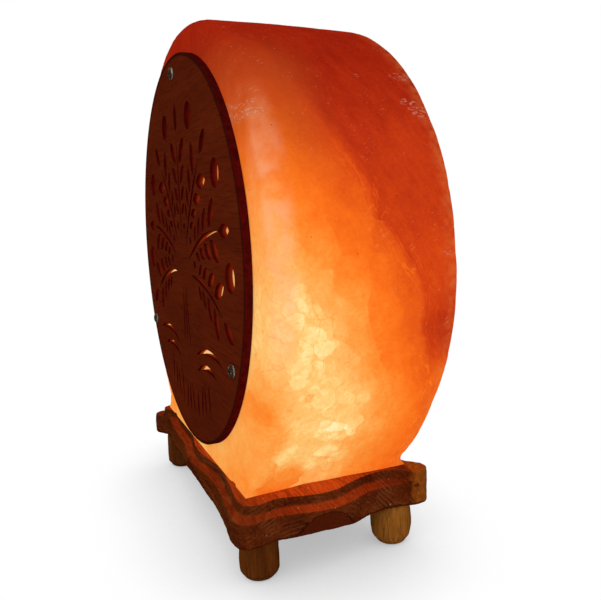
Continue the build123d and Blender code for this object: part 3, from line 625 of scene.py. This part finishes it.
def saltFinish(name, look):
    finish = SaltFinish(name, look)
    level = finish.crystals(finish.mottling(finish.bulbLight(finish.layers())))
    tint = finish.ramp(level, look["shades"])
    tint = finish.bruising(finish.sandingAndHighlight(tint, level))
    lit = look["litShare"]
    finish.set(Base_Color=finish.mix(1.0, tint, (lit, lit, lit, 1), "MULTIPLY"))
    finish.set(Emission_Color=tint, Emission_Strength=look["light"])
    scratches = finish.noise(finish.stretched(finish.place, (1, 0.12, 1)), look["scratchSize"])
    finish.set(Roughness=finish.line(scratches, 0.3, 0.7, 0.45, 0.6), Specular_IOR_Level=0)
    relief = finish.bump(finish.bruise, look["bruiseDepth"], 0.8)
    finish.set(Normal=finish.bump(scratches, look["scratchDepth"], 0.6, relief))
    return finish.material


# the saw left the block wider at its rear corners, just above the plank
def fillHeels(piece, look):
    def share(value, start, end):
        return min(max((value - start) / (end - start), 0), 1)

    for vertex in piece.data.vertices:
        low = share(vertex.co.z, look["heelTop"], saltLow.z)
        back = share(vertex.co.y, look["heelFront"], saltHigh.y)
        side = share(abs(vertex.co.x), *look["heelSides"])
        push = look["heelReach"] * low ** look["heelCurve"] * back * side
        vertex.co.x += push if vertex.co.x > 0 else -push
    piece.data.update()


# what all the wood has in common
woodLook = {
    "wander": (28 * mm, 3 * mm), "fray": (6 * mm, 0.6 * mm),  # of the grain: size, reach
    "patchSize": 16 * mm, "broadSize": 12 * mm, "streakSize": 1.6 * mm,
    "poreSize": 0.75 * mm, "poreDepth": 0.12 * mm,
}


# Wood: rings round a heart, drawn out along the grain, with open pores in them. The finish
# keeps its stain and its rings for those that go on from it.
def woodFinish(name, ownLook):
    look = dict(woodLook, **ownLook)
    finish = Finish(name)
    place = finish.warped(finish.place, *look["wander"])
    place = finish.stretched(place, look["grain"])
    place = finish.warped(place, *look["fray"])
    rings = finish.distance(place, look["heart"], look["ringAxes"])
    rings = finish.math("FRACT", finish.math("DIVIDE", rings, look["ringWidth"]))
    patches = finish.between(finish.noise(place, look["patchSize"]), 0.35, 0.6)
    lateWood = finish.times(finish.between(rings, 0.35, 0.8), finish.between(rings, 1, 0.9), patches)
    broad = finish.noise(place, look["broadSize"], 4.0, 0.6)
    streaks = finish.noise(place, look["streakSize"], 3.0, 0.6)
    tone = finish.math("MULTIPLY_ADD", streaks, 0.35, finish.math("MULTIPLY", broad, 0.8))
    tone = finish.math("MULTIPLY_ADD", lateWood, -look["ringShare"], tone)
    tint = finish.ramp(tone, look["shades"])
    pores = finish.stretched(finish.place, look["poreDrawn"])
    pores = finish.between(finish.noise(pores, look["poreSize"], 2.0, 0.6), 0.54, 0.64)
    tint = finish.mix(finish.times(pores, look["poreShare"]), tint, look["poreTint"])
    finish.set(Base_Color=tint, Roughness=finish.line(broad, 0.3, 0.7, 0.5, 0.68))
    finish.set(Specular_IOR_Level=0, Normal=finish.bump(pores, -look["poreDepth"], 0.7))
    finish.stain = tint
    finish.ringPlace = place
    finish.lateWood = lateWood
    return finish


plankLook = {
    "meshSize": 0.78 * mm, "easing": 2, "waveDepth": 0.45 * mm, "waveSize": 11 * mm,
    "pitDepth": 0.12 * mm, "pitSize": 1.6 * mm,
    "seatHeight": plankLow.z - 10 * mm, "seatFade": 1 * mm, "seed": 8,  # worn underneath too
    "grain": (0.12, 1, 1), "heart": (0, -14 * mm, -16 * mm), "ringAxes": (0, 1, 1),
    "ringWidth": 1.6 * mm, "ringShare": 0.07,
    "poreDrawn": (0.16, 1, 1), "poreShare": 0.5, "poreTint": colour(40, 12, 4),
    "shades": (
        (0.3, colour(66, 23, 7)), (0.5, colour(90, 35, 11)), (0.65, colour(112, 49, 18)),
        (0.85, colour(150, 80, 36)),
    ),
    "paleRingTint": colour(150, 88, 50), "paleRingShare": 0.42,
    # the pale sapwood at the rear right corner, behind a wandering border, and a knot in it
    "sapShades": ((0.25, colour(124, 54, 10)), (0.5, colour(152, 78, 18)), (0.75, colour(178, 106, 36))),
    "sapFrom": 33.5 * mm, "sapWander": 5 * mm, "sapBlur": 1.5 * mm, "sapWidth": 30 * mm,
    "knot": (72 * mm, 34.8 * mm, 26 * mm), "knotDrawn": (0.2, 0.6, 1), "knotRadii": (1.1 * mm, 0.4 * mm),
    # pale hairline scratches that run down across the edge: degrees from level
    "scratchTurn": 38, "scratchShare": 0.55, "scratchTint": colour(146, 84, 44),
    "dustTint": colour(206, 176, 150), "dustSize": 7 * mm, "dustShare": 0.7,
    "facetTint": colour(90, 31, 13), "facetShare": 0.8, "facetLineShare": 0.7,
    # light out of the salt on the upper step and on the ledge round it
    "plateauGlow": colour(205, 66, 14), "ledgeGlow": colour(150, 44, 10),
    "glowReach": (43 * mm, 24 * mm), "glowDrawn": (1 / 2.6, 1, 0),
    "glowSides": (1.5, 0.3),  # by the front edge and by the rear one
    "stepDepths": (3 * mm, 1.4 * mm),  # of the step's riser, under the top
    "tickDrawn": (0.07, 1, 1), "tickSize": 0.7 * mm,  # fine lines of the grain in that light
    "light": 0.8,
}


def plankFinish(name, look):
    finish = woodFinish(name, look)
    long, across, height = finish.axes(finish.warped(finish.place, 5 * mm, 0.8 * mm))
    upward = finish.facing()[2]
    wander, blur = look["sapWander"], look["sapBlur"]
    border = finish.noise(finish.place, 6 * mm, 3.0)
    border = finish.math("MULTIPLY_ADD", border, wander, look["sapFrom"] - wander / 2)
    isSap = finish.between(finish.math("SUBTRACT", across, border), -blur, blur)
    isSap = finish.times(isSap, finish.between(long, 0, look["sapWidth"]))
    sap = finish.ramp(finish.noise(finish.place, 2 * mm, 4.0, 0.65), look["sapShades"])
    tint = finish.mix(isSap, finish.stain, sap)
    knot = finish.distance(finish.place, look["knot"], look["knotDrawn"])
    tint = finish.mix(finish.between(knot, *look["knotRadii"], 0, 0.75), tint, look["poreTint"])
    patches = finish.noise(finish.ringPlace, 9 * mm)
    patches = finish.between(patches, 0.4, 0.62, 0, look["paleRingShare"])
    tint = finish.mix(finish.times(finish.lateWood, patches), tint, look["paleRingTint"])
    inputs = {"Vector": finish.place, "Angle": radians(look["scratchTurn"])}
    scratches = finish.add("ShaderNodeVectorRotate", inputs, rotation_type="X_AXIS")
    scratches = finish.noise(finish.stretched(scratches, (1, 0.06, 1)), 0.5 * mm, 3.0, 0.6)
    patches = finish.between(finish.noise(finish.place, 14 * mm), 0.44, 0.6, 0, look["scratchShare"])
    scratches = finish.times(finish.between(scratches, 0.56, 0.66), patches)
    tint = finish.mix(scratches, tint, look["scratchTint"])
    dust = finish.cells(finish.place, look["dustSize"])
    dust = finish.between(dust, 0.05, 0.025, 0, look["dustShare"])
    tint = finish.mix(dust, tint, look["dustTint"])
    # the slanting cuts under the sides are smooth, with a dark line round them
    facet = finish.between(upward, -0.16, -0.26, 0, look["facetShare"])
    facet = finish.times(facet, finish.between(upward, -0.9, -0.8))
    tint = finish.mix(facet, tint, look["facetTint"])
    line = finish.between(upward, -0.07, -0.13, 0, look["facetLineShare"])
    line = finish.times(line, finish.between(upward, -0.24, -0.18))
    finish.set(Base_Color=finish.mix(line, tint, look["poreTint"]))
    # light out of the salt on the faces that look up
    near = finish.distance(finish.place, (0, 0, 0), look["glowDrawn"])
    near = finish.between(near, *look["glowReach"], 0.3, 1)
    sides = finish.line(across, plankLow.y, plankHigh.y, *look["glowSides"])
    ticks = finish.warped(finish.place, 12 * mm, 1.5 * mm)
    ticks = finish.noise(finish.stretched(ticks, look["tickDrawn"]), look["tickSize"], 3.0, 0.65)
    ticks = finish.line(ticks, 0.36, 0.64, 1.15, 0.4)
    share = finish.times(finish.between(upward, 0.45, 0.92), finish.times(near, sides), ticks)
    rise = finish.between(height, *(plankHigh.z - depth for depth in look["stepDepths"]))
    shine = finish.mix(rise, look["ledgeGlow"], look["plateauGlow"])
    finish.set(Emission_Color=finish.mix(share, (0, 0, 0, 1), shine), Emission_Strength=look["light"])
    return finish.material


footLook = {
    "meshSize": 0.5 * mm, "easing": 3, "waveDepth": 0.35 * mm, "waveSize": 8 * mm,
    "pitDepth": 0.08 * mm, "pitSize": 1.2 * mm, "seatHeight": 0.5 * mm, "seatFade": 1 * mm,
    "firstSeed": 20,
    "grain": (1, 1, 0.1), "heart": (4 * mm, 6 * mm, 0), "ringAxes": (1, 1, 0),
    "ringWidth": 1.6 * mm, "ringShare": 0.1,
    "poreDrawn": (1, 1, 0.07), "poreShare": 0.4, "poreTint": colour(48, 20, 7),
    "shades": (
        (0.3, colour(80, 38, 12)), (0.55, colour(106, 54, 18)), (0.8, colour(134, 74, 28)),
    ),
    # the rear right foot is of paler wood
    "paleShades": (
        (0.3, colour(126, 72, 22)), (0.55, colour(152, 94, 34)), (0.8, colour(178, 118, 50)),
    ),
}


panelLook = {
    "grain": (0.1, 1, 1), "heart": (0, 0, -60 * mm), "ringAxes": (0, 1, 1),
    "ringWidth": 5 * mm, "ringShare": 0.03,
    "poreDrawn": (0.06, 1, 1), "poreShare": 0.3, "poreTint": colour(56, 17, 8),
    "shades": (
        (0.3, colour(90, 30, 12)), (0.55, colour(103, 35, 14)), (0.8, colour(117, 43, 17)),
    ),
    "charShades": ((0.3, colour(66, 10, 9)), (0.7, colour(92, 16, 14))), "charSize": 2.5 * mm,
    # a painted shadow line on the face along its outer edge: its width and strength
    "shadowLineWidth": 0.9 * mm, "shadowLineShare": 0.85,  # darkened line on the face along the outer edge
    # light from the salt on the walls of the fretwork: how far off the bulb it reaches, how far
    # in from the outer edge and how far behind the face it begins
    "glowTint": colour(214, 66, 16), "glowReach": (95 * mm, 15 * mm),
    "glowInset": (1 * mm, 3 * mm), "glowDepth": 0.6 * mm,
    "light": 0.6,
}


def panelFinish(name, look):
    finish = woodFinish(name, look)
    cut = finish.between(finish.math("ABSOLUTE", finish.facing()[1]), 0.9, 0.5)
    fromMiddle = finish.distance(finish.place, panelCentre, (1, 0, 1))
    # painted shadow line on the face along the outer edge
    rim = look["shadowLineWidth"]
    paintedShadowLine = finish.between(fromMiddle, panelRadius - 2 * rim, panelRadius - rim, 0, look["shadowLineShare"])
    tint = finish.mix(paintedShadowLine, finish.stain, look["poreTint"])
    char = finish.ramp(finish.noise(finish.place, look["charSize"]), look["charShades"])
    finish.set(Base_Color=finish.mix(cut, tint, char))
    # the light on the walls is strongest at the back of the panel, and the outer edge has none
    inner = finish.between(fromMiddle, *(panelRadius - inset for inset in look["glowInset"]))
    depth = finish.between(finish.axes(finish.place)[1], panelLow.y + look["glowDepth"], panelHigh.y)
    reach = finish.distance(finish.place, bulbCentre, (1, 0, 1))
    reach = finish.between(reach, *look["glowReach"], 0.05, 1)
    share = finish.times(cut, inner, finish.times(depth, reach))
    glow = finish.mix(share, (0, 0, 0, 1), look["glowTint"])
    finish.set(Emission_Color=glow, Emission_Strength=look["light"])
    return finish.material


# Metal with marks drawn out along the way it was worked, duller where it has tarnished.
def metalFinish(name, look):
    finish = Finish(name)
    marks = finish.noise(finish.stretched(finish.place, look["drawn"]), look["markSize"], 3.0, 0.65)
    tarnish = finish.noise(finish.place, look["tarnishSize"], 4.0, 0.6)
    tone = finish.math("MULTIPLY_ADD", marks, 0.3, finish.math("MULTIPLY", tarnish, 0.7))
    spots = finish.between(finish.noise(finish.place, 0.5 * mm, 2.0, 0.6), 0.62, 0.7, 0, 0.5)
    tint = finish.mix(spots, finish.ramp(tone, look["shades"]), look["spotTint"])
    finish.set(Base_Color=tint, Metallic=1.0)
    finish.set(Roughness=finish.line(tone, 0.3, 0.7, *look["roughness"]))
    finish.set(Normal=finish.bump(marks, look["markDepth"], 0.6))
    return finish.material


# Steel screws with a painted dark reflection in the panel's brown over the face of each head,
# thinner in spots and left off round the edge.
def darkReflectionFinish(name, look):
    finish = Finish(name)
    grit = finish.noise(finish.place, look["tarnishSize"], 4.0, 0.6)
    # painted dark reflection on the faces of the heads that look to the front
    flat = finish.between(finish.math("MULTIPLY", finish.facing()[1], -1), 0.16, 0.4)
    paintedDarkReflection = finish.times(flat, finish.between(grit, 0.6, 0.66, 1, 0.3), look["darkReflectionShare"])
    finish.set(Base_Color=finish.mix(paintedDarkReflection, finish.ramp(grit, look["shades"]), look["stain"]))
    finish.set(Metallic=finish.line(paintedDarkReflection, 0, 1, 1, 0), Specular_IOR_Level=0)
    finish.set(Roughness=finish.line(paintedDarkReflection, 0, 1, *look["roughness"]))
    marks = finish.noise(finish.place, look["markSize"], 3.0, 0.65)
    finish.set(Normal=finish.bump(marks, look["markDepth"], 0.6))
    return finish.material


# what all the moulded pieces have in common
mouldedLook = {"spotSize": 0.8 * mm, "dustSize": 2.2 * mm, "dustTint": colour(178, 160, 142)}


# Moulded or fired stuff, cloudy, with a fine skin, and dust on the faces that look up.
def mouldedFinish(name, ownLook):
    look = dict(mouldedLook, **ownLook)
    finish = Finish(name)
    cloud = finish.noise(finish.place, look["cloudSize"], 4.0, 0.55)
    skin = finish.noise(finish.place, look["skinSize"], 3.0, 0.6)
    spots = finish.noise(finish.place, look["spotSize"], 2.0, 0.6)
    spots = finish.between(spots, 0.64, 0.7, 0, look["spotShare"])
    tint = finish.mix(spots, finish.ramp(cloud, look["shades"]), look["spotTint"])
    dust = finish.noise(finish.place, look["dustSize"], 4.0, 0.7)
    dust = finish.between(dust, 0.4, 0.7, 0, look["dustShare"])
    dust = finish.times(dust, finish.between(finish.facing()[2], 0.4, 0.9))
    tint = finish.mix(dust, tint, look["dustTint"])
    finish.set(Base_Color=tint, Roughness=finish.line(skin, 0.3, 0.7, *look["roughness"]))
    finish.set(Specular_IOR_Level=look["gloss"])
    finish.set(Normal=finish.bump(skin, look["skinDepth"], 0.6))
    return finish.material


# Clear glass with faint draw lines, and a little brown from use near its foot.
def glassFinish(name, look):
    finish = Finish(name)
    drawn = finish.noise(finish.stretched(finish.place, (1, 1, 0.1)), look["drawSize"])
    cloud = finish.noise(finish.place, look["cloudSize"], 3.0)
    clear, brown = (glassLow.z + height for height in look["footHeights"])
    used = finish.between(finish.axes(finish.place)[2], clear, brown, 0, look["usedShare"])
    used = finish.times(used, finish.line(cloud, 0.3, 0.7, 0.5, 1))
    finish.set(Base_Color=finish.mix(used, look["tint"], look["usedTint"]), Transmission_Weight=1.0)
    finish.set(Roughness=finish.line(cloud, 0.3, 0.7, 0.0, look["haze"]), IOR=look["bending"])
    finish.set(Normal=finish.bump(drawn, look["drawDepth"], 0.4))
    return finish.material


# A glowing coil, hottest in the middle, its turns showing as fine lines.
def filamentFinish(name, look):
    finish = Finish(name)
    along = finish.axes(finish.place)[0]
    turns = finish.math("SINE", finish.math("DIVIDE", along, look["coilPitch"] / (2 * pi)))
    heat = finish.between(finish.math("ABSOLUTE", along), *look["hotPart"])
    heat = finish.times(heat, finish.line(turns, -1, 1, 0.7, 1))
    finish.set(Base_Color=look["cold"], Metallic=1.0, Roughness=finish.line(heat, 0, 1, 0.5, 0.35))
    glow = finish.mix(heat, look["hot"], look["hottest"])
    finish.set(Emission_Color=glow, Emission_Strength=look["light"])
    finish.set(Normal=finish.bump(turns, look["turnDepth"], 0.6))
    return finish.material


turnedMarks = (0.15, 0.15, 1)  # drawn out round the axis of a turned or spun piece
plainMarks = (1, 1, 1)
screwLook = {
    "drawn": plainMarks, "markSize": 0.35 * mm, "markDepth": 0.03 * mm, "tarnishSize": 1.2 * mm,
    "roughness": (0.3, 0.5), "spotTint": colour(64, 58, 50),
    "shades": ((0.3, colour(96, 90, 80)), (0.55, colour(138, 130, 118)), (0.75, colour(186, 178, 164))),
    # the panel's brown, painted over the front of each panel screw head as a dark reflection
    "stain": colour(58, 24, 14), "darkReflectionShare": 0.92,
}
zincLook = {
    "drawn": turnedMarks, "markSize": 0.4 * mm, "markDepth": 0.02 * mm, "tarnishSize": 3 * mm,
    "roughness": (0.28, 0.5), "spotTint": colour(150, 148, 138),
    "shades": ((0.3, colour(168, 172, 176)), (0.55, colour(200, 203, 206)), (0.75, colour(220, 221, 220))),
}
springLook = {
    "drawn": (0.1, 1, 0.1), "markSize": 0.5 * mm, "markDepth": 0.02 * mm, "tarnishSize": 5 * mm,
    "roughness": (0.3, 0.48), "spotTint": colour(112, 96, 80),
    "shades": ((0.3, colour(120, 124, 132)), (0.55, colour(156, 160, 166)), (0.75, colour(178, 178, 176))),
}
brassLook = {
    "drawn": turnedMarks, "markSize": 0.5 * mm, "markDepth": 0.02 * mm, "tarnishSize": 3 * mm,
    "roughness": (0.24, 0.46), "spotTint": colour(138, 96, 42),
    "shades": ((0.3, colour(182, 138, 66)), (0.55, colour(214, 172, 92)), (0.75, colour(232, 196, 120))),
}
nickelLook = {
    "drawn": turnedMarks, "markSize": 0.5 * mm, "markDepth": 0.02 * mm, "tarnishSize": 4 * mm,
    "roughness": (0.2, 0.42), "spotTint": colour(150, 140, 118),
    "shades": ((0.3, colour(182, 178, 168)), (0.55, colour(212, 208, 198)), (0.75, colour(226, 224, 216))),
}
solderLook = {
    "drawn": plainMarks, "markSize": 0.7 * mm, "markDepth": 0.08 * mm, "tarnishSize": 1.6 * mm,
    "roughness": (0.34, 0.6), "spotTint": colour(96, 96, 98),
    "shades": ((0.3, colour(146, 148, 152)), (0.55, colour(176, 178, 180)), (0.75, colour(206, 206, 206))),
}
wireLook = {
    "drawn": (1, 1, 0.12), "markSize": 0.3 * mm, "markDepth": 0.01 * mm, "tarnishSize": 2.5 * mm,
    "roughness": (0.3, 0.5), "spotTint": colour(94, 84, 74),
    "shades": ((0.3, colour(128, 122, 116)), (0.55, colour(160, 156, 150)), (0.75, colour(184, 180, 176))),
}
plasticLook = {
    "cloudSize": 7 * mm, "skinSize": 0.5 * mm, "skinDepth": 0.03 * mm, "roughness": (0.36, 0.5),
    "gloss": 0.4, "spotShare": 0.3, "spotTint": colour(62, 58, 54), "dustShare": 0.28,
    "shades": ((0.3, colour(24, 24, 25)), (0.7, colour(38, 37, 37))),
}
nylonLook = {
    "cloudSize": 5 * mm, "skinSize": 0.7 * mm, "skinDepth": 0.04 * mm, "roughness": (0.4, 0.55),
    "gloss": 0.35, "spotShare": 0.2, "spotTint": colour(212, 196, 168), "dustShare": 0.2,
    "shades": ((0.3, colour(222, 217, 202)), (0.7, colour(238, 235, 224))),
}
ceramicLook = {
    "cloudSize": 4 * mm, "skinSize": 0.3 * mm, "skinDepth": 0.03 * mm, "roughness": (0.6, 0.78),
    "gloss": 0.2, "spotShare": 0.5, "spotTint": colour(150, 132, 108), "dustShare": 0.2,
    "shades": ((0.3, colour(224, 216, 198)), (0.7, colour(240, 234, 220))),
}
blackGlassLook = {
    "cloudSize": 2.5 * mm, "skinSize": 1.2 * mm, "skinDepth": 0.04 * mm, "roughness": (0.08, 0.2),
    "gloss": 0.6, "spotShare": 0.3, "spotTint": colour(60, 56, 58), "dustShare": 0.1,
    "shades": ((0.3, colour(16, 15, 18)), (0.7, colour(30, 28, 32))),
}
bulbGlassLook = {
    "drawSize": 3 * mm, "drawDepth": 0.02 * mm, "haze": 0.03, "footHeights": (12 * mm, 3 * mm),
    "usedShare": 0.25, "tint": colour(252, 253, 252), "usedTint": colour(206, 190, 160),
    "cloudSize": 4 * mm, "bending": 1.46,
}
stemGlassLook = {
    "drawSize": 1.5 * mm, "drawDepth": 0.03 * mm, "haze": 0.08, "footHeights": (9 * mm, 0),
    "usedShare": 0.4, "tint": colour(240, 244, 242), "usedTint": colour(186, 176, 158),
    "cloudSize": 4 * mm, "bending": 1.46,
}
filamentLook = {
    "coilPitch": 0.16 * mm, "turnDepth": 0.03 * mm, "hotPart": (6.5 * mm, 2 * mm), "light": 14.0,
    "hot": colour(255, 214, 140), "hottest": colour(255, 240, 200), "cold": colour(70, 66, 64),
}

# how each finish is made, its name, its look, and the CAD nodes that are shown as they are in it
fittings = (
    (panelFinish, "panelFinish", panelLook, ("fretwork_panel",)),
    (darkReflectionFinish, "darkReflectionSteel", screwLook, ("panel_screws",)),
    (metalFinish, "screwSteel", screwLook, ("salt_screws",)),
    (mouldedFinish, "nylon", nylonLook, ("panel_plugs", "salt_plugs")),
    (
        mouldedFinish, "blackPlastic", plasticLook,
        ("cord_collar", "cord_grip_screw", "holder_cap", "holder_sleeve"),
    ),
    (metalFinish, "zincSteel", zincLook, ("cord_nipple", "clip_nut", "terminal_screws")),
    (metalFinish, "springSteel", springLook, ("clip_spring",)),
    (mouldedFinish, "steatite", ceramicLook, ("contact_block",)),
    (
        metalFinish, "brass", brassLook,
        ("centre_contact", "side_contact", "terminal_blocks", "screw_shell"),
    ),
    (metalFinish, "nickel", nickelLook, ("bulb_cap",)),
    (mouldedFinish, "blackGlass", blackGlassLook, ("bulb_insulator",)),
    (metalFinish, "solder", solderLook, ("bulb_contact",)),
    (glassFinish, "bulbGlass", bulbGlassLook, ("bulb_glass",)),
    (glassFinish, "stemGlass", stemGlassLook, ("bulb_stem",)),
    (metalFinish, "wire", wireLook, ("bulb_lead_wires", "bulb_filament_support")),
    (filamentFinish, "filamentFinish", filamentLook, ("bulb_filament",)),
)

makeCamera(cameraLook)
makeStudio(studioLook)
print("camera and studio made")

handWear = wearTree()
salt = handFinish("salt", "salt_block", handWear, saltLook, saltFinish("saltFinish", saltLook))
fillHeels(salt, saltLook)
print("salt worn:", len(salt.data.polygons), "faces")

plank = handFinish("plank", "base_board", handWear, plankLook, plankFinish("plankFinish", plankLook))
print("plank worn:", len(plank.data.polygons), "faces")

for number, corner in enumerate(("front_left", "front_right", "rear_left", "rear_right")):
    look = dict(footLook, seed=footLook["firstSeed"] + number)
    if corner == "rear_right":
        look["shades"] = look["paleShades"]
    finish = woodFinish("footFinish" + str(number), look)
    foot = handFinish("foot." + corner, "foot_" + corner, handWear, look, finish.material)
print("feet worn")

for makeFinish, name, look, wearers in fittings:
    material = makeFinish(name, look)
    for node in wearers:
        dress(nodes[node], material)
print("fittings and bulb dressed")
